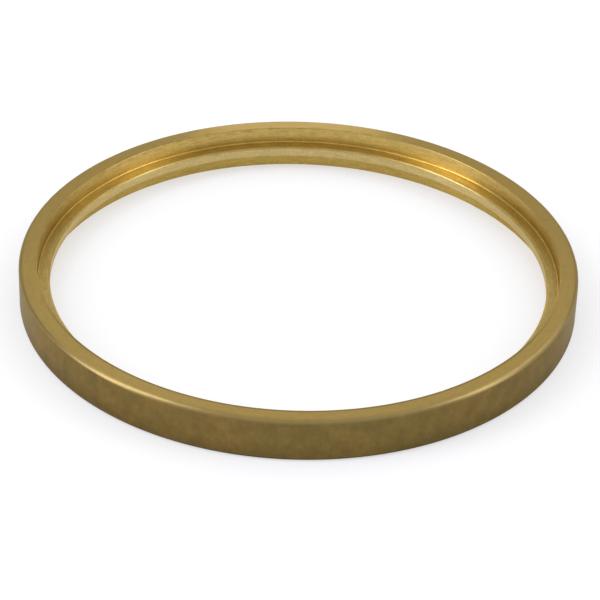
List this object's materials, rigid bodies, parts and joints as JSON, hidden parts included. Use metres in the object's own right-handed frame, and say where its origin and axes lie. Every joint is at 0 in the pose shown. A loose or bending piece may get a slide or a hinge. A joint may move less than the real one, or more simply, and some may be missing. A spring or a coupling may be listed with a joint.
{
  "type": "spud ring",
  "caption": "Turned brass ring with rounded outer edges and an inward rib at mid height that forms a seating recess on each side.",
  "frame": {"origin": "centre of the ring's bottom face", "axes": "+Z along the ring's axis, up from the face it lies on; X and Y are across the ring, which is round"},
  "size_m": [0.1016, 0.1016, 0.0082],
  "materials": {
    "brass": "fine turned, satin, outer wall lightly tarnished"
  },
  "bodies": {
    "root": {"spud_ring": "brass"}
  },
  "joints": []
}
